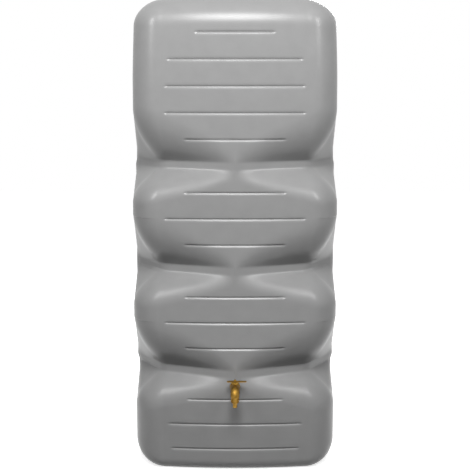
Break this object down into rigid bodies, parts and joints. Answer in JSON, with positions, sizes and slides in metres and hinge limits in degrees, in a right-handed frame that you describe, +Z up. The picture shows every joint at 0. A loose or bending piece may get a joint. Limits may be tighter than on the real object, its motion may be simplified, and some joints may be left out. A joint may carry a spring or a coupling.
{
  "type": "rain barrel",
  "caption": "Slim upright wall water tank of stacked bulges with ribbed front grooves, push-on filler lid, brass lever tap with hose tail, and top wall angles.",
  "frame": {"origin": "centre of the tank's flat underside, on the ground", "axes": "+Z up, -Y is the bowed front with the tap, +Y is the flat back that stands against a wall, +X to the right seen from the front"},
  "size_m": [0.794, 0.495, 1.8452],
  "materials": {
    "grey_polyethylene": "satin moulded",
    "brass": "machined, slightly dulled",
    "black_rubber": "matte",
    "white_ptfe": "smooth",
    "chromed_brass": "polished",
    "zinc_steel": "zinc plated"
  },
  "bodies": {
    "tank": {"tank_shell": "grey_polyethylene", "tap_washer_outer": "black_rubber", "tap_washer_inner": "black_rubber", "tap_lock_nut": "brass", "tap_body": "brass", "tap_seat_rear": "white_ptfe", "tap_seat_front": "white_ptfe", "stem_packing": "white_ptfe", "gland_nut": "brass", "tap_spout": "brass", "hose_washer": "black_rubber", "hose_tail": "brass", "wall_angle_left": "zinc_steel", "wall_angle_right": "zinc_steel", "angle_screw_left": "zinc_steel", "angle_screw_right": "zinc_steel", "angle_bush_left": "brass", "angle_bush_right": "brass"},
    "lid": {"lid": "grey_polyethylene", "lid_seal": "black_rubber"},
    "lever": {"tap_lever": "brass", "tap_lever_nut": "brass", "tap_stem": "brass", "tap_ball": "chromed_brass"},
    "hose_nut": {"hose_nut": "brass"}
  },
  "joints": [
    {"name": "lid_lift", "type": "slide", "parent": "tank", "child": "lid", "axis": [0, 0, 1], "range_m": [0, 0.18]},
    {"name": "tap_lever_turn", "type": "hinge", "parent": "tank", "child": "lever", "pos_m": [0, -0.237, 0.348], "axis": [0, 0, -1], "range_deg": [0, 90]},
    {"name": "hose_nut_turn", "type": "hinge", "parent": "tank", "child": "hose_nut", "pos_m": [0, -0.278, 0.31], "axis": [0, 0, -1], "continuous": true}
  ]
}
